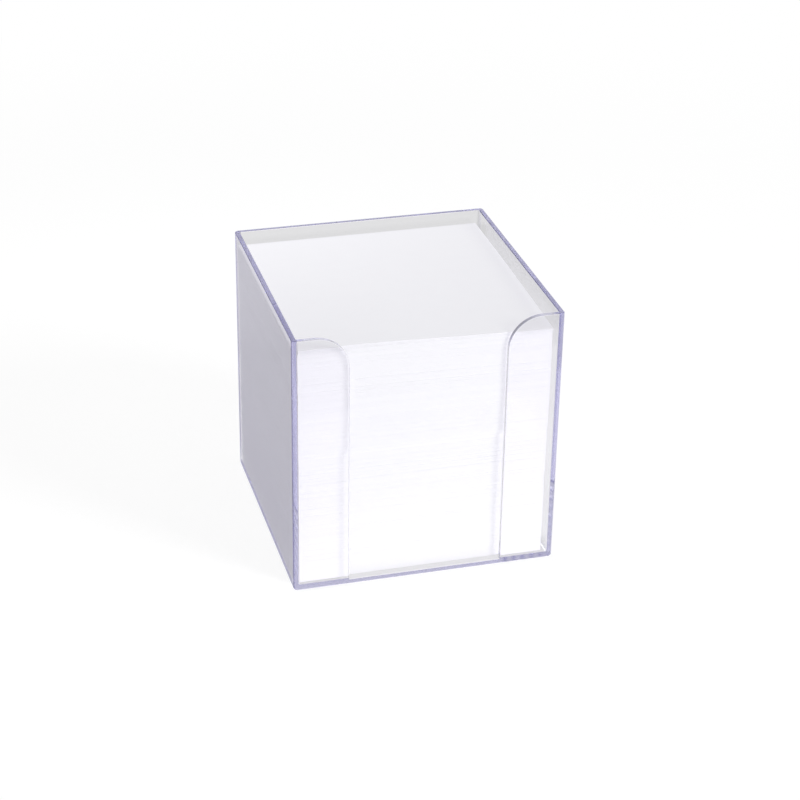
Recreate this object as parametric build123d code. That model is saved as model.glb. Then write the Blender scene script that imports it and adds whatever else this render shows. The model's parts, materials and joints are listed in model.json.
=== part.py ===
"""Open memo box of clear polystyrene, filled with loose square note sheets.

Millimetres, +Z up, the fingers' slot faces -Y. The origin is the centre of the underside.
The box is one moulding: floor, back, two sides, and a front of two wings beside a wide slot.
Two blocks of sheets stand on its floor, one on the other, and single sheets lie on top.
"""

import math
import os

from build123d import *

# Note sheets
SHEET_SIDE = 90.0
SHEET_THICKNESS = 0.1
LOOSE_SHEETS = 12
LOWER_BLOCK = 50.5

# Box moulding
BOX_HEIGHT = 98.0
WALL = 1.8
FLOOR = 2.0
RIM_ABOVE_SHEETS = 4.8
UPRIGHT_RADIUS = 1.5
FOOT_RADIUS = 1.0
INNER_RADIUS = 0.4
EDGE_ROUND = 0.3

# Front slot and the wings beside it
SLOT_WIDTH = 56.0
WING_RADIUS = 12.0

# Room between the sheets and the walls
SIDE_CLEARANCE = 1.2
RUNNING_GAP = 0.3
CORNER_SWEEP = 0.1
LOOSE_SPREAD = 0.15

INNER_SIDE = SHEET_SIDE + 2 * SIDE_CLEARANCE
OUTER_SIDE = INNER_SIDE + 2 * WALL

# The upper block fills the height between the lower block and the loose sheets
UPPER_BOTTOM = FLOOR + LOWER_BLOCK
LOOSE_BOTTOM = BOX_HEIGHT - RIM_ABOVE_SHEETS - LOOSE_SHEETS * SHEET_THICKNESS
UPPER_BLOCK = LOOSE_BOTTOM - UPPER_BOTTOM

# How far a sheet may shift from the middle: over the rounded foot of the wall, and above it
FLOOR_PLAY = SIDE_CLEARANCE - INNER_RADIUS
WALL_PLAY = SIDE_CLEARANCE - RUNNING_GAP
LOOSE_PLAY = WALL_PLAY - CORNER_SWEEP

# All the sheets lean to the left, and to the front as well but for the lower block's
LEFT, FRONT = -1, -1
BACK_SHARE = 1 / 4
LOOSE_LEAN = LOOSE_PLAY - LOOSE_SPREAD

GOLDEN_ANGLE = math.pi * (3 - math.sqrt(5))

ON_FLOOR = (Align.CENTER, Align.CENTER, Align.MIN)
TO_FRONT = (Align.CENTER, Align.MAX, Align.MIN)
FROM_FRONT = (Align.CENTER, Align.MIN, Align.MIN)


def rounded_block(side, height, upright_radius, foot_radius):
    """A square block with its upright edges rounded, and then the edges round its underside."""
    block = Box(side, side, height, align=ON_FLOOR)
    block = fillet(block.edges().filter_by(Axis.Z), upright_radius)
    return fillet(block.faces().sort_by(Axis.Z)[0].edges(), foot_radius)


def slot_cutter():
    """A straight slot through the front wall, from the floor up and out past the rim."""
    cutter = Box(SLOT_WIDTH, 2 * WALL, BOX_HEIGHT, align=TO_FRONT)
    return Pos(0, -INNER_SIDE / 2, FLOOR) * cutter


def cavity():
    """The room inside: its back and sides run round into the floor, its front meets it square."""
    inside = Pos(0, 0, FLOOR) * rounded_block(INNER_SIDE, BOX_HEIGHT, INNER_RADIUS, INNER_RADIUS)
    front_foot = Box(INNER_SIDE - 2 * INNER_RADIUS, INNER_RADIUS, INNER_RADIUS, align=FROM_FRONT)
    return inside + Pos(0, -INNER_SIDE / 2, FLOOR) * front_foot


def box_moulding():
    """Floor, back, sides and the two front wings as one moulding with its rim rounded off."""
    block = rounded_block(OUTER_SIDE, BOX_HEIGHT, UPRIGHT_RADIUS, FOOT_RADIUS)
    shell = block - cavity() - slot_cutter()
    wing_corners = shell.edges().filter_by(Axis.Y).filter_by_position(Axis.Z, BOX_HEIGHT, BOX_HEIGHT)
    beside_slot = wing_corners.filter_by_position(Axis.X, -SLOT_WIDTH / 2, SLOT_WIDTH / 2)
    shell = fillet(beside_slot, WING_RADIUS)
    rim = shell.edges().filter_by(Axis.X).filter_by_position(Axis.Z, BOX_HEIGHT, BOX_HEIGHT)
    # The rounding follows smooth edges, so from the back's two it goes round and down the slot
    return fillet(rim.sort_by(Axis.Y)[-2:], EDGE_ROUND)


def sheet_block(height, bottom, shift_x, shift_y):
    """A block of sheets that lie square on each other."""
    block = Box(SHEET_SIDE, SHEET_SIDE, height, align=ON_FLOOR)
    return Pos(shift_x, shift_y, bottom) * block


def loose_sheet(index):
    """One single sheet on top, a little shifted and turned from the one below it."""
    bottom = LOOSE_BOTTOM + index * SHEET_THICKNESS
    phase = (index + 1) * GOLDEN_ANGLE
    shift_x = LEFT * LOOSE_LEAN + LOOSE_SPREAD * math.sin(phase)
    shift_y = FRONT * LOOSE_LEAN + LOOSE_SPREAD * math.cos(phase)
    turn = math.degrees(math.atan2(CORNER_SWEEP, SHEET_SIDE / 2)) * math.sin(2 * phase)
    sheet = Box(SHEET_SIDE, SHEET_SIDE, SHEET_THICKNESS, align=ON_FLOOR)
    return Pos(shift_x, shift_y, bottom) * Rot(0, 0, turn) * sheet


def pieces():
    """Every separate piece, by its node's name."""
    made = {
        "clear_box": box_moulding(),
        "lower_sheet_block": sheet_block(LOWER_BLOCK, FLOOR, LEFT * FLOOR_PLAY, BACK_SHARE * FLOOR_PLAY),
        "upper_sheet_block": sheet_block(UPPER_BLOCK, UPPER_BOTTOM, LEFT * WALL_PLAY, FRONT * WALL_PLAY),
    }
    for index in range(LOOSE_SHEETS):
        made[f"loose_sheet_{index + 1:02d}"] = loose_sheet(index)
    return made


os.makedirs("parts", exist_ok=True)
for name, solid in pieces().items():
    export_step(solid, f"parts/{name}.step")
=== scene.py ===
"""Looks of a clear polystyrene memo box filled with loose white note sheets.

Metres, +Z up, the fingers' slot faces -Y, the origin is the centre of the box's underside.
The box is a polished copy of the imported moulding, with absorption that tints its edges.
The sheets are single slabs of paper: two blocks of hundreds, and twelve loose ones on top.
"""

import json
import math

import bmesh
import bpy
import numpy as np
from mathutils import Matrix, Vector

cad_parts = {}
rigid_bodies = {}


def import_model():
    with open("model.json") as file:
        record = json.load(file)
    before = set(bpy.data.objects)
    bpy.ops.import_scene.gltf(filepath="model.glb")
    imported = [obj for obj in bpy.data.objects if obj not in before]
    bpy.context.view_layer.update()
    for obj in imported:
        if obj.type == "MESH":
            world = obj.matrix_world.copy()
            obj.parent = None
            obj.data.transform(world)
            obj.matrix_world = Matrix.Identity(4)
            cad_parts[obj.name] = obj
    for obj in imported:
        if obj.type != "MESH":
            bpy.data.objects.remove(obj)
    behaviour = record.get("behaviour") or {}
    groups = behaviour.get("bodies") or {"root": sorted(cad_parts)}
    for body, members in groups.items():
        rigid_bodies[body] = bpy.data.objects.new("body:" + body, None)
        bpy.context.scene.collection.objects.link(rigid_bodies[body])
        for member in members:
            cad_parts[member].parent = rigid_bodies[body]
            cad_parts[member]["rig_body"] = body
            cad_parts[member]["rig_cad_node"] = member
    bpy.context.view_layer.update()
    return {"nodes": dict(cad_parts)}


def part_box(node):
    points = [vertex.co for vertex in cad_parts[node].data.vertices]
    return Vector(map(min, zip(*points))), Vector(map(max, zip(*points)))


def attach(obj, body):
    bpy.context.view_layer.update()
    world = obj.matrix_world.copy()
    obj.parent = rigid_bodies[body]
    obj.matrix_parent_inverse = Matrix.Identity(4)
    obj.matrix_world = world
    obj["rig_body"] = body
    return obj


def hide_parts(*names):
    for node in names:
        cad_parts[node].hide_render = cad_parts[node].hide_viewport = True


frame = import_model()

MM = 0.001
SMOOTH_ANGLE = math.radians(35)

# The moulding's mesh: how near in metres two points are one, and how many steps a normal's unit
# and a millimetre of distance have, where triangles on the same step share a flat
SAME_POINT = 1e-7
NORMAL_STEPS = 500
OFFSET_STEPS = 50

# Camera: where it looks from and at, in degrees and millimetres
CAMERA_AZIMUTH = -15.85
CAMERA_ELEVATION = 27.81
CAMERA_ROLL = 0.98
CAMERA_DISTANCE = 767.1
CAMERA_LENS = 94.02
SENSOR_WIDTH = 36.0
TARGET_HEIGHT = 47.5
TARGET_RIGHT = 3.08
TARGET_UP = -1.45

# One note sheet, in millimetres. The air keeps the faces of two sheets apart.
SHEET_SIDE = 90.0
SHEET_THICKNESS = 0.1
SHEET_AIR = 0.004
FIRST_SHEET_GAP = 0.02

# How the sheets of a block lie: shifts and heights in millimetres, turns in radians
SEED = 90
FEWEST_IN_BUNDLE = 25
MOST_IN_BUNDLE = 69
BUNDLE_SHIFT = 0.09
SHEET_SHIFT = 0.025
MOST_SHEET_SHIFT = 0.06
SHEET_TURN = 0.0002
MOST_SHEET_TURN = 0.0005
FREE_HEIGHT = 3.0
STEP_HEIGHT = 5.0

# How the loose sheets lie, in millimetres, and the part of their nodes' shifts that they show
GOLDEN_ANGLE = math.pi * (3 - math.sqrt(5))
CORNER_SWEEP = 0.1
CORNER_RISE = 0.004
STRAY_SHARE = 0.3

# How the pile settles, in millimetres: high at the back left, low at the front right
SETTLE_RISE = 0.4
SETTLE_SAG = 1.75
SAG_MIDDLE = 2.0
SAG_WIDTH = 11.0
SAG_AHEAD_POWER = 2.2
SAG_HEIGHT_POWER = 1.6

# Cells along a side of a sheet: one for flat sheets, more for those that settle
LOWER_CELLS = 1
UPPER_CELLS = 8
LOOSE_CELLS = 24

# Where the walls begin, in metres from the middle
WALL_START = 0.0461
WALL_BLUR = 0.0005

# How much of a normal points across its wall: at most this on a cut edge, at least on a face
EDGE_FACING = 0.55
BROAD_FACING = 0.85

# The wings' satin edges: how satin, how much of their normals points along y at most, and from
# what height and to what distance from the middle they go, in metres
SATIN_SHARE = 0.4
SATIN_FACING = 0.3
PLAIN_FACING = 0.8
FOOT_END = 0.003
SATIN_START = 0.005
SATIN_END = 0.0435
CORNER_START = 0.0450

# Rays that follow the light round inside the walls
EDGE_BOUNCES = 128

# Lamps: distances and widths in metres, levels as what a white surface that faces them sends back
KEY_AZIMUTH = 43.0
KEY_ELEVATION = 27.0
KEY_DISTANCE = 2.0
KEY_WIDTH = 0.68
KEY_LEVEL = 0.775
BACK_AZIMUTH = 210.0
BACK_ELEVATION = 55.0
BACK_DISTANCE = 0.33
BACK_WIDTH = 0.16
BACK_LEVEL = 0.285

# Sky: its strength as a light, and where it shows in the plastic or through it
SKY_LEVEL = 0.40
SEEN_LEVEL = 0.68

# Light table: its tone and glow as a light, and the same as the camera sees it
FLOOR_WHITE = 0.30
FLOOR_GLOW = 0.50
FLOOR_SHADE = 0.20
FLOOR_GLOW_SEEN = 0.84

# Its size, and how far from the middle shadows show and plain white begins, in metres
FLOOR_RADIUS = 3.0
FLOOR_SIDES = 96
FLOOR_DROP = 0.0001
SHADOW_END = 0.25
PLAIN_WHITE_START = 0.6


def grey(level):
    """A colour of even grey."""
    return (level, level, level, 1.0)


# Patches of painted light and shade on the light table, a brighter or dimmer glow where light or the
# box's shadow would fall: left, right, front, back and blur in metres, and the glow's colour
# Painted shade: a dim lilac glow left of the box, where its shadow falls and its left wall mirrors it
LILAC_SHADE = (0.345, 0.335, 0.395, 1.0)
LEFT_OF_BOX = (-0.19, -0.055, -0.50, 0.50, 0.02, LILAC_SHADE)
# Painted shade: no glow at all in a patch far ahead to the right, which darkens what the box's front
# mirrors
FAR_AHEAD = (-0.02, 0.14, -0.32, -0.230, 0.004, grey(0.0))
# Painted light: a bright glow ahead of the box, which lights its front and shows in it
AHEAD_OF_BOX = (-0.07, 0.07, -0.16, -0.055, 0.02, grey(0.85))
# Painted light: a bright glow right behind the box, which the light led round inside its walls carries
# to its edges
BEHIND_BOX = (-0.046, 0.07, 0.050, 0.14, 0.005, grey(0.85))
# Painted shade: a dim glow further back to the right
BEYOND_BOX = (0.110, 0.19, 0.12, 0.250, 0.006, grey(0.36))
# Painted light and shade: a dim glow under the box, for the shade there and the little light its clear
# floor lets through
UNDER_BOX = (-WALL_START, WALL_START, -WALL_START, WALL_START, WALL_BLUR, grey(0.40))
# Painted light: a brighter glow under the ledge of the finger slot, where light falls through the slot
UNDER_SLOT = (-0.028, 0.028, -WALL_START, -0.040, WALL_BLUR, grey(0.50))
# Painted light: full glow under the wings and under the front of the right wall
UNDER_LEFT_WING = (-WALL_START, -0.029, -0.048, -WALL_START, WALL_BLUR, grey(1.0))
UNDER_RIGHT_WING = (0.029, WALL_START, -0.048, -WALL_START, WALL_BLUR, grey(1.0))
UNDER_RIGHT_CORNER = (0.0462, 0.0479, -0.0455, 0.0, 0.0003, grey(1.0))
PAINTED_LIGHT_AND_SHADE_PATCHES = (
    LEFT_OF_BOX, FAR_AHEAD, AHEAD_OF_BOX, BEHIND_BOX, BEYOND_BOX, UNDER_BOX, UNDER_SLOT,
    UNDER_LEFT_WING, UNDER_RIGHT_WING, UNDER_RIGHT_CORNER)

# The colour sockets of a Mix node, which has others of the same names for numbers and vectors
MIX_FIRST = 6
MIX_SECOND = 7
MIX_RESULT = 2


class Term:
    """One output socket of a shader tree. Arithmetic on terms adds Math nodes."""

    def __init__(self, tree, socket):
        self.tree = tree
        self.socket = socket

    def math(self, operation, first, second):
        return add_node(self.tree, "ShaderNodeMath", {"operation": operation}, {0: first, 1: second})

    def __add__(self, other):
        return self.math("ADD", self, other)

    def __radd__(self, other):
        return self.math("ADD", other, self)

    def __rsub__(self, other):
        return self.math("SUBTRACT", other, self)

    def __mul__(self, other):
        return self.math("MULTIPLY", self, other)

    def __rmul__(self, other):
        return self.math("MULTIPLY", other, self)

    def __abs__(self):
        return self.math("ABSOLUTE", self, 0.0)

    def at_least(self, other):
        return self.math("MAXIMUM", self, other)


def add_node(tree, kind, settings=None, inputs=None, output=0):
    """Adds a node, sets it up, fills or links its sockets, and returns one output as a term."""
    node = tree.nodes.new(kind)
    for name, value in (settings or {}).items():
        setattr(node, name, value)
    for key, value in (inputs or {}).items():
        if isinstance(value, Term):
            tree.links.new(value.socket, node.inputs[key])
        else:
            node.inputs[key].default_value = value
    return Term(tree, node.outputs[output]) if node.outputs else None


def empty_tree(owner):
    """The cleared shader tree of a material or a world."""
    owner.use_nodes = True
    owner.node_tree.nodes.clear()
    return owner.node_tree


def noise(tree, place, scale, detail):
    """Noise from 0 to 1 with features 1/scale metres across."""
    return add_node(tree, "ShaderNodeTexNoise", {}, {
        "Vector": place, "Scale": scale, "Detail": detail})


def object_place(tree, stretch=(1.0, 1.0, 1.0)):
    """Object coordinates, multiplied by stretch."""
    place = add_node(tree, "ShaderNodeTexCoord", output="Object")
    return add_node(tree, "ShaderNodeVectorMath", {"operation": "MULTIPLY"}, {0: place, 1: stretch})


def blend_colours(tree, share, first, second):
    """The first colour where share is 0 and the second where it is 1."""
    return add_node(tree, "ShaderNodeMix", {"data_type": "RGBA"}, {
        "Factor": share, MIX_FIRST: first, MIX_SECOND: second}, output=MIX_RESULT)


def light_path(tree, name):
    """What kind of ray looks, such as 1 for one from the camera and 0 for any other."""
    return add_node(tree, "ShaderNodeLightPath", output=name)


def axes(tree, vector):
    """The three components of a vector, as terms."""
    parts = add_node(tree, "ShaderNodeSeparateXYZ", {}, {"Vector": vector})
    return [Term(tree, socket) for socket in parts.socket.node.outputs]


def facing(tree):
    """The three components of the surface's normal, in the object's own directions."""
    return axes(tree, add_node(tree, "ShaderNodeTexCoord", output="Normal"))


def mix_shaders(tree, share, first, second):
    """The first shader where share is 0 and the second where it is 1."""
    return add_node(tree, "ShaderNodeMixShader", {}, {0: share, 1: first, 2: second})


def ramp(tree, value, low, high):
    """0 where value is under low, 1 where it is over high, and smooth between them."""
    return add_node(tree, "ShaderNodeMapRange", {"interpolation_type": "SMOOTHSTEP"}, {
        "Value": value, "From Min": low, "From Max": high})


def material(name, build):
    """A material whose surface, and volume if there is one, come from build(tree)."""
    made = bpy.data.materials.new(name)
    tree = empty_tree(made)
    add_node(tree, "ShaderNodeOutputMaterial", {}, build(tree))
    return made


def on_broad_face(tree):
    """1 on the broad faces of the walls and the floor, 0 on their cut edges and rims.

    A face is broad where its normal points along x in a side wall, along y in the front or the
    back wall, or along z in the floor.
    """
    x, y, z = axes(tree, object_place(tree))
    across, ahead, upright = facing(tree)
    in_side = ramp(tree, abs(x), WALL_START - WALL_BLUR, WALL_START)
    in_front = ramp(tree, abs(y), WALL_START - WALL_BLUR, WALL_START)
    in_floor = 1.0 - ramp(tree, z, FLOOR_TOP * MM, FLOOR_TOP * MM + WALL_BLUR)
    aligned = (abs(across) * in_side).at_least(abs(ahead) * in_front).at_least(abs(upright) * in_floor)
    return ramp(tree, aligned, EDGE_FACING, BROAD_FACING)


def on_wing_edge(tree):
    """1 on the edges of the two wings beside the finger slot, away from the corners and the foot.

    They are the faces in the front wall whose normals don't point along y.
    """
    x, y, z = axes(tree, object_place(tree))
    ahead = facing(tree)[1]
    in_front = 1.0 - ramp(tree, y, -WALL_START, WALL_BLUR - WALL_START)
    inside_corners = 1.0 - ramp(tree, abs(x), SATIN_END, CORNER_START)
    above_foot = ramp(tree, z, FOOT_END, SATIN_START)
    sideways = 1.0 - ramp(tree, abs(ahead), SATIN_FACING, PLAIN_FACING)
    return in_front * inside_corners * above_foot * sideways


def clear_plastic(tree):
    """Polished clear polystyrene. Long ways through it turn violet, as they do at its edges.

    The edges of the wings are a little satin, as moulded edges that fingers rub are.
    Light goes straight through its broad faces, and only in part through its cut edges, which
    bend it away, so each edge throws a faint line of shadow.
    """
    waves = noise(tree, object_place(tree, (1.0, 1.0, 0.4)), scale=35.0, detail=1.0)
    haze = noise(tree, object_place(tree), scale=60.0, detail=3.0)
    normal = add_node(tree, "ShaderNodeBump", {}, {
        "Strength": 1.0, "Distance": 0.00001, "Height": waves})
    glass = add_node(tree, "ShaderNodeBsdfPrincipled", {}, {
        "Base Color": (0.998, 0.996, 1.0, 1.0), "Roughness": 0.03 + 0.02 * haze,
        "IOR": 1.59, "Transmission Weight": 1.0, "Normal": normal})
    edge_shade = add_node(tree, "ShaderNodeBsdfTransparent", {}, {"Color": (0.76, 0.76, 0.78, 1.0)})
    wall_shade = add_node(tree, "ShaderNodeBsdfTransparent", {}, {"Color": (0.985, 0.982, 0.99, 1.0)})
    shade = mix_shaders(tree, on_broad_face(tree), edge_shade, wall_shade)
    satin = add_node(tree, "ShaderNodeBsdfDiffuse", {}, {"Color": grey(0.85)})
    body = mix_shaders(tree, SATIN_SHARE * on_wing_edge(tree), glass, satin)
    surface = mix_shaders(tree, light_path(tree, "Is Shadow Ray"), body, shade)
    volume = add_node(tree, "ShaderNodeVolumeAbsorption", {}, {
        "Color": (0.30, 0.27, 0.75, 1.0), "Density": 5.5})
    return {"Surface": surface, "Volume": volume}


def white_paper(tree):
    """Uncoated white paper: faint clouds in its tone, and the fine tooth of its fibres."""
    place = object_place(tree)
    cloud = noise(tree, place, scale=160.0, detail=3.0)
    tooth = noise(tree, place, scale=2600.0, detail=2.0)
    colour = blend_colours(tree, cloud, (0.872, 0.868, 0.905, 1.0), (0.888, 0.884, 0.918, 1.0))
    normal = add_node(tree, "ShaderNodeBump", {}, {
        "Strength": 0.12, "Distance": 0.00003, "Height": tooth})
    surface = add_node(tree, "ShaderNodeBsdfPrincipled", {}, {
        "Base Color": colour, "Roughness": 0.82 + 0.1 * tooth, "IOR": 1.45,
        "Specular IOR Level": 0.3, "Normal": normal})
    return {"Surface": surface}


def glowing(tree, pale, glow):
    """A matt surface of an even grey, pale from 0 to 1, that glows as if lit from under."""
    matt = add_node(tree, "ShaderNodeBsdfDiffuse", {}, {"Color": grey(pale)})
    from_under = add_node(tree, "ShaderNodeEmission", {}, {"Color": glow})
    return add_node(tree, "ShaderNodeAddShader", {}, {0: matt, 1: from_under})


def within(tree, value, low, high, blur):
    """1 where value is between low and high, and 0 from a blur outside them."""
    return ramp(tree, value, low - blur, low) * ramp(tree, value, high + blur, high)


def studio_floor(tree):
    """A light table: white to the camera but for a light trace of the box's shadow.

    To everything else it is a pale grey with an even glow, and patches of painted light and shade
    round the box and under it, a brighter or dimmer glow where light or the box's shadow would fall.
    """
    x, y = axes(tree, object_place(tree))[:2]
    glow = grey(FLOOR_GLOW)
    for left, right, front, back, blur, tone in PAINTED_LIGHT_AND_SHADE_PATCHES:
        patch = within(tree, x, left, right, blur) * within(tree, y, front, back, blur)
        glow = blend_colours(tree, patch, glow, tone)
    away = add_node(tree, "ShaderNodeVectorMath", {"operation": "LENGTH"}, {
        0: object_place(tree, (1.0, 1.0, 0.0))}, output="Value")
    white = add_node(tree, "ShaderNodeEmission")
    near = glowing(tree, FLOOR_SHADE, grey(FLOOR_GLOW_SEEN))
    seen = mix_shaders(tree, ramp(tree, away, SHADOW_END, PLAIN_WHITE_START), near, white)
    table = glowing(tree, FLOOR_WHITE, glow)
    return {"Surface": mix_shaders(tree, light_path(tree, "Is Camera Ray"), table, seen)}


def light_table():
    """The floor that the box stands on, a hair under its foot."""
    bpy.ops.mesh.primitive_circle_add(
        vertices=FLOOR_SIDES, radius=FLOOR_RADIUS, fill_type="NGON", location=(0, 0, -FLOOR_DROP))
    floor = bpy.context.object
    floor.name = "studio_floor"
    finish = material("light_table", studio_floor)
    finish.cycles.emission_sampling = "NONE"
    floor.data.materials.append(finish)


def studio_world():
    """An even pale sky: white where the camera sees it, and softer as a light.

    What the plastic mirrors or lets through shows it between the two, as long as the ray has
    met no matt surface.
    """
    world = bpy.data.worlds.new("studio")
    bpy.context.scene.world = world
    world.cycles.sampling_method = "NONE"
    tree = empty_tree(world)
    seen_directly = light_path(tree, "Is Camera Ray")
    seen = light_path(tree, "Is Glossy Ray").at_least(light_path(tree, "Is Transmission Ray"))
    seen = seen * (1.0 - light_path(tree, "Diffuse Depth")).at_least(0.0)
    strength = SKY_LEVEL + seen_directly * (1.0 - SKY_LEVEL) + seen * (SEEN_LEVEL - SKY_LEVEL)
    sky = add_node(tree, "ShaderNodeBackground", {}, {"Color": grey(1.0), "Strength": strength})
    add_node(tree, "ShaderNodeOutputWorld", {}, {"Surface": sky})


def direction(azimuth, elevation):
    """Unit vector from the object towards azimuth and elevation; azimuth 0 is -Y, 90 is +X."""
    around, up = math.radians(azimuth), math.radians(elevation)
    level = math.cos(up)
    return Vector((math.sin(around) * level, -math.cos(around) * level, math.sin(up)))


def soft_light(name, azimuth, elevation, distance, width, level):
    """A round softbox that faces the box, and lights matt surfaces only.

    The plastic passes its light on as shade, so it mustn't arrive by refraction as well. A disk
    of power P lights what faces it from a distance d with P / (pi d^2), and a white surface
    sends back that over pi.
    """
    lamp = bpy.data.lights.new(name, "AREA")
    lamp.shape = "DISK"
    lamp.size = width
    lamp.energy = math.pi ** 2 * level * distance ** 2
    light = bpy.data.objects.new(name, lamp)
    bpy.context.scene.collection.objects.link(light)
    towards = direction(azimuth, elevation)
    light.location = towards * distance + Vector((0, 0, TARGET_HEIGHT * MM))
    light.rotation_euler = towards.to_track_quat("Z", "Y").to_euler()
    light.visible_camera = False
    light.visible_transmission = False
    light.visible_glossy = False


def camera():
    """The camera, as far from its target as its distance says, and turned by its roll."""
    back = direction(CAMERA_AZIMUTH, CAMERA_ELEVATION)
    right = Vector((0, 0, 1)).cross(back).normalized()
    up = back.cross(right)
    target = Vector((0, 0, TARGET_HEIGHT)) + right * TARGET_RIGHT + up * TARGET_UP
    turn = Matrix((right, up, back)).transposed() @ Matrix.Rotation(math.radians(CAMERA_ROLL), 3, "Z")
    lens = bpy.data.cameras.new("camera")
    lens.lens = CAMERA_LENS
    lens.sensor_width = SENSOR_WIDTH
    lens.clip_start = 0.01
    lens.clip_end = 50.0
    made = bpy.data.objects.new("camera", lens)
    bpy.context.scene.collection.objects.link(made)
    made.matrix_world = Matrix.Translation((target + back * CAMERA_DISTANCE) * MM) @ turn.to_4x4()
    bpy.context.scene.camera = made


def mesh_object(name, points, quads):
    """A mesh object from an (n, 3) array of points in millimetres and an (m, 4) array of faces."""
    mesh = bpy.data.meshes.new(name)
    mesh.vertices.add(len(points))
    mesh.vertices.foreach_set("co", (points * MM).astype(np.float32).ravel())
    mesh.loops.add(quads.size)
    mesh.loops.foreach_set("vertex_index", quads.astype(np.int32).ravel())
    mesh.polygons.add(len(quads))
    mesh.polygons.foreach_set("loop_start", np.arange(0, quads.size, 4, dtype=np.int32))
    mesh.update(calc_edges=True)
    mesh.validate()
    mesh.shade_smooth()
    mesh.set_sharp_from_angle(angle=SMOOTH_ANGLE)
    made = bpy.data.objects.new(name, mesh)
    bpy.context.scene.collection.objects.link(made)
    return made


def slab_faces(cells):
    """The quads of one closed slab on a grid of cells by cells.

    Point (i, j) of the underside is number i * (cells + 1) + j, and the top's points follow the
    underside's in the same order.
    """
    row = cells + 1
    a, b = (i.ravel() for i in np.meshgrid(np.arange(cells), np.arange(cells), indexing="ij"))
    corner = a * row + b
    over = np.stack([corner, corner + row, corner + row + 1, corner + 1], axis=1)
    top = row * row
    edge = np.arange(cells)
    front, back = edge * row, edge * row + cells
    left, right = edge, cells * row + edge
    sides = [
        np.stack([front, front + row, front + row + top, front + top], axis=1),
        np.stack([back + row, back, back + top, back + row + top], axis=1),
        np.stack([left + 1, left, left + top, left + 1 + top], axis=1),
        np.stack([right, right + 1, right + 1 + top, right + top], axis=1),
    ]
    return np.concatenate([over[:, ::-1], over + top, *sides])


def settle(x, y, z):
    """How far the pile's surface lies above its even height, in millimetres.

    It is a rise less a sag. The sag grows to the right as a logistic curve, and to the front as
    a power of the way there. Both are multiplied by a power of the height in the upper block,
    so the lowest sheets there stay flat.
    """
    across = 1 / (1 + np.exp(-(x - SAG_MIDDLE) / SAG_WIDTH))
    ahead = np.clip((SHEET_SIDE / 2 - y) / SHEET_SIDE, 0, 1) ** SAG_AHEAD_POWER
    full = SETTLE_RISE - SETTLE_SAG * across * ahead
    share = np.clip((z - UPPER_BOTTOM) / (PILE_TOP - UPPER_BOTTOM), 0, 1) ** SAG_HEIGHT_POWER
    return full * share


def pile(name, bottoms, shifts, turns, cells, curl=None):
    """Sheets as closed slabs, all in one mesh.

    Point (u, v) of a sheet, u and v even steps from minus to plus half a side, is turned by the
    sheet's turn, moved by its shift, and set at its bottom, or a thickness higher for its top.
    Both are then raised by settle(x, y, z), and by curl(u, v) where one is given.
    """
    steps = np.linspace(-SHEET_SIDE / 2, SHEET_SIDE / 2, cells + 1)
    u, v = (grid.ravel() for grid in np.meshgrid(steps, steps, indexing="ij"))
    cos, sin = np.cos(turns)[:, None], np.sin(turns)[:, None]
    x = cos * u - sin * v + shifts[:, :1]
    y = sin * u + cos * v + shifts[:, 1:]
    levels = bottoms[:, None] + np.array([0.0, SHEET_THICKNESS - SHEET_AIR])
    z = np.repeat(levels[:, :, None], len(u), axis=2)
    x, y = (np.repeat(side[:, None, :], 2, axis=1) for side in (x, y))
    z = z + settle(x, y, z)
    if curl is not None:
        z = z + curl(u, v)
    points = np.stack([x, y, z], axis=-1).reshape(-1, 3)
    per_sheet = 2 * len(u)
    quads = slab_faces(cells)[None] + per_sheet * np.arange(len(bottoms))[:, None, None]
    return mesh_object(name, points, quads.reshape(-1, 4))


def block_places(rng, count, centre, freedom):
    """Where each sheet of a block lies: at centre, moved by a share freedom of its own shift.

    That shift is its bundle's, which is even from minus to plus BUNDLE_SHIFT, and a hair of its
    own, which is normal and held within MOST_SHEET_SHIFT.
    """
    bundles = rng.integers(FEWEST_IN_BUNDLE, MOST_IN_BUNDLE + 1, count)
    bundle = np.searchsorted(np.cumsum(bundles), np.arange(count), side="right")
    wander = rng.uniform(-1, 1, (count, 2))[bundle] * BUNDLE_SHIFT
    hair = np.clip(rng.normal(0, SHEET_SHIFT, (count, 2)), -MOST_SHEET_SHIFT, MOST_SHEET_SHIFT)
    return centre + (wander + hair) * freedom[:, None]


def middle(node):
    """The middle of a node's box, seen from above, in millimetres."""
    low, high = (np.array(corner)[:2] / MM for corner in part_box(node))
    return (low + high) / 2


def block_line(z):
    """Where the middle of the pile is at height z.

    It goes from the lower block's middle to the upper's by a smooth step, 3 s^2 - 2 s^3, where s
    is the share of STEP_HEIGHT that is passed.
    """
    lower, upper = (middle(name) for name in ("lower_sheet_block", "upper_sheet_block"))
    share = np.clip((z - UPPER_BOTTOM) / STEP_HEIGHT + 0.5, 0, 1)[:, None]
    return lower + (upper - lower) * share ** 2 * (3 - 2 * share)


def dress(piece, body, slot, finish, *nodes):
    """Gives a piece its finish and its body, and hides the CAD nodes that it stands for. The slot is
    not used.
    """
    piece.data.materials.clear()
    piece.data.materials.append(finish)
    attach(piece, body)
    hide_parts(*nodes)


def paper_block(name, node, body, finish, seed, cells):
    """A block of single sheets that fills the place of a packed block.

    Near the floor, where the walls are rounded, the sheets are less free to shift and turn.
    """
    low, high = (np.array(corner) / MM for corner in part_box(node))
    count = round((high[2] - low[2]) / SHEET_THICKNESS)
    rng = np.random.default_rng(seed)
    bottoms = low[2] + SHEET_THICKNESS * np.arange(count)
    centre = block_line(bottoms)
    freedom = np.clip((bottoms - FLOOR_TOP) / FREE_HEIGHT, 0, 1)
    turns = np.clip(rng.normal(0, SHEET_TURN, count), -MOST_SHEET_TURN, MOST_SHEET_TURN) * freedom
    bottoms[0] += FIRST_SHEET_GAP
    block = pile(name, bottoms, block_places(rng, count, centre, freedom), turns, cells)
    dress(block, body, "white_paper", finish, node)


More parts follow.
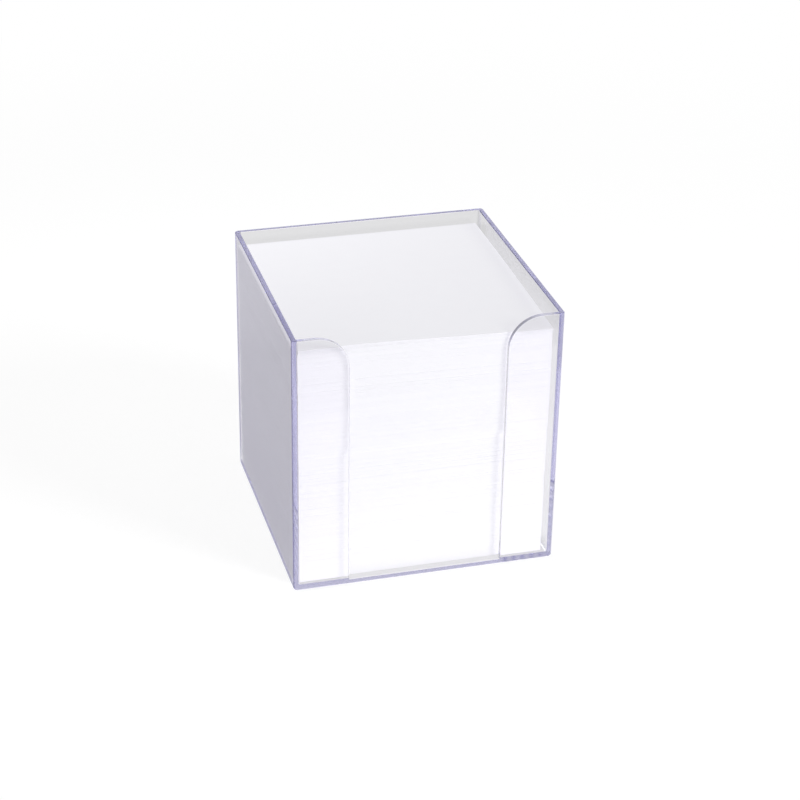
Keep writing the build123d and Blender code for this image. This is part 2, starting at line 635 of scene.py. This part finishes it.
def loose_sheet(index, finish):
    """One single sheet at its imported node's height, with its corners lifted a hair.

    It strays from the loose sheets' middle by STRAY_SHARE of what its node does, because the
    sheets' white edges would otherwise lie in each other's shade. Its point (u, v) is lifted by
    its rise times the cube of |u v| over the square of half a side.
    """
    node = f"loose_sheet_{index + 1:02d}"
    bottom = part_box(node)[0].z / MM
    phase = (index + 1) * GOLDEN_ANGLE
    turn = math.atan2(CORNER_SWEEP, SHEET_SIDE / 2) * math.sin(2 * phase) * STRAY_SHARE
    place = LOOSE_MIDDLE + (middle(node) - LOOSE_MIDDLE) * STRAY_SHARE
    rise = CORNER_RISE * (index + 1)

    def curl(u, v):
        reach = (np.abs(u) * np.abs(v)) / (SHEET_SIDE / 2) ** 2
        return rise * reach ** 3

    name = f"note_sheet_{index + 1:02d}"
    sheet = pile(name, np.array([bottom]), place[None], np.array([turn]), LOOSE_CELLS, curl)
    dress(sheet, f"{node}_body", "white_paper", finish, node)


def normal_per_corner(mesh):
    """One normal for each corner of a triangle mesh, even on flats and smooth over roundings.

    A corner's normal is the sum of the normals of the triangles round its point that meet its
    own triangle smoothly, each times the squared area of the flat that it belongs to. Triangles
    belong to one flat where their normals and their distances from the origin agree.
    """
    count = len(mesh.polygons)
    normals, centres, areas = np.zeros(count * 3), np.zeros(count * 3), np.zeros(count)
    mesh.polygons.foreach_get("normal", normals)
    mesh.polygons.foreach_get("center", centres)
    mesh.polygons.foreach_get("area", areas)
    normals, centres = normals.reshape(-1, 3), centres.reshape(-1, 3)
    offset = (normals * centres).sum(axis=1, keepdims=True) / MM
    planes = np.round(np.concatenate([normals * NORMAL_STEPS, offset * OFFSET_STEPS], axis=1))
    flat = np.unique(planes, axis=0, return_inverse=True)[1].ravel()
    weight = np.bincount(flat, weights=areas)[flat] ** 2
    point = np.zeros(count * 3, dtype=np.int32)
    mesh.loops.foreach_get("vertex_index", point)
    # Every pair of a corner and a triangle that meets its point: own is the one, other the other
    by_point = np.argsort(point, kind="stable")
    shared = np.bincount(point)
    first = np.cumsum(shared) - shared
    partners = shared[point]
    own = np.repeat(np.arange(len(point)), partners)
    step = np.arange(len(own)) - np.repeat(np.cumsum(partners) - partners, partners)
    other = by_point[np.repeat(first[point], partners) + step] // 3
    own_normal = normals[own // 3]
    smooth = (own_normal * normals[other]).sum(axis=1) > math.cos(SMOOTH_ANGLE)
    total = np.zeros((len(point), 3))
    np.add.at(total, own[smooth], normals[other[smooth]] * weight[other[smooth], None])
    return total / np.linalg.norm(total, axis=1, keepdims=True)


def box_moulding(finish):
    """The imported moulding's own surface, merged and smooth over its roundings."""
    source = frame["nodes"]["clear_box"]
    shell = source.copy()
    shell.data = source.data.copy()
    shell.name = "clear_moulding"
    # The copy is a piece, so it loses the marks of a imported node
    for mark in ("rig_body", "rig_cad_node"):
        del shell[mark]
    shell.parent = None
    bpy.context.scene.collection.objects.link(shell)
    work = bmesh.new()
    work.from_mesh(shell.data)
    bmesh.ops.remove_doubles(work, verts=work.verts, dist=SAME_POINT)
    work.to_mesh(shell.data)
    work.free()
    shell.data.shade_smooth()
    shell.data.normals_split_custom_set(normal_per_corner(shell.data))
    dress(shell, "box", "clear_plastic", finish, "clear_box")


def light_bounces(cycles):
    """Lets light go round inside the walls, and reach the sheets behind them in full."""
    cycles.max_bounces = EDGE_BOUNCES
    cycles.glossy_bounces = EDGE_BOUNCES
    cycles.transmission_bounces = EDGE_BOUNCES
    cycles.blur_glossy = 0.0


# Heights in millimetres, and the loose sheets' middle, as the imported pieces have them
FLOOR_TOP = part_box("lower_sheet_block")[0].z / MM
UPPER_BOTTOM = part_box("upper_sheet_block")[0].z / MM
LOOSE_NODES = [name for name in frame["nodes"] if name.startswith("loose_sheet")]
LOOSE_MIDDLE = np.mean([middle(name) for name in LOOSE_NODES], axis=0)
PILE_TOP = max(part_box(name)[1].z for name in LOOSE_NODES) / MM

camera()
plastic = material("clear_polystyrene", clear_plastic)
paper = material("uncoated_paper", white_paper)
box_moulding(plastic)
paper_block("lower_sheets", "lower_sheet_block", "lower_block", paper, SEED, LOWER_CELLS)
paper_block("upper_sheets", "upper_sheet_block", "upper_block", paper, SEED + 1, UPPER_CELLS)
for index in range(len(LOOSE_NODES)):
    loose_sheet(index, paper)

light_table()
studio_world()
soft_light("key", KEY_AZIMUTH, KEY_ELEVATION, KEY_DISTANCE, KEY_WIDTH, KEY_LEVEL)
soft_light("back", BACK_AZIMUTH, BACK_ELEVATION, BACK_DISTANCE, BACK_WIDTH, BACK_LEVEL)
light_bounces(bpy.context.scene.cycles)
bpy.context.scene.view_settings.view_transform = "Standard"
